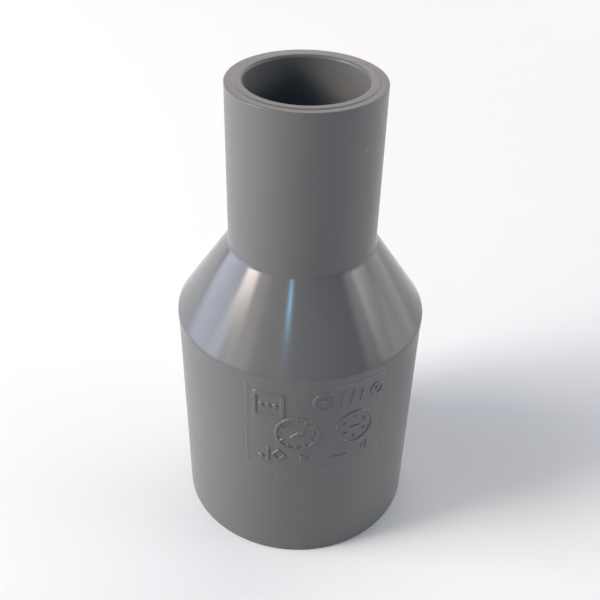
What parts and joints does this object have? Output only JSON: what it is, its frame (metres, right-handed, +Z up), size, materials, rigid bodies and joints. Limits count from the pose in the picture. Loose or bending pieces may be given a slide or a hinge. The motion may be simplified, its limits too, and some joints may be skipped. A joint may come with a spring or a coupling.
{
  "type": "concentric reducing socket",
  "caption": "Straight reducing socket in rigid grey plastic: a wide socket narrows through a cone to a small socket, for solvent-welded pipe.",
  "frame": {"origin": "on the axis, at the face of the large end that the fitting stands on", "axes": "+Z up the axis from the large end to the small end; the raised marks face -Y; +X is to the right of a reader of the marks"},
  "size_m": [0.0592, 0.0592, 0.1144],
  "materials": {
    "socket_plastic": "satin",
    "cone_plastic": "gloss",
    "raised_marks": "satin"
  },
  "bodies": {
    "root": {"large_socket": "socket_plastic", "large_pipe_stop": "socket_plastic", "reducing_cone": "cone_plastic", "small_pipe_stop": "socket_plastic", "small_socket": "socket_plastic", "marking_frame": "raised_marks", "blank_plate": "raised_marks", "size_step_marks": "raised_marks", "date_dial": "raised_marks", "cavity_ring": "raised_marks", "lower_marks": "raised_marks"}
  },
  "joints": []
}
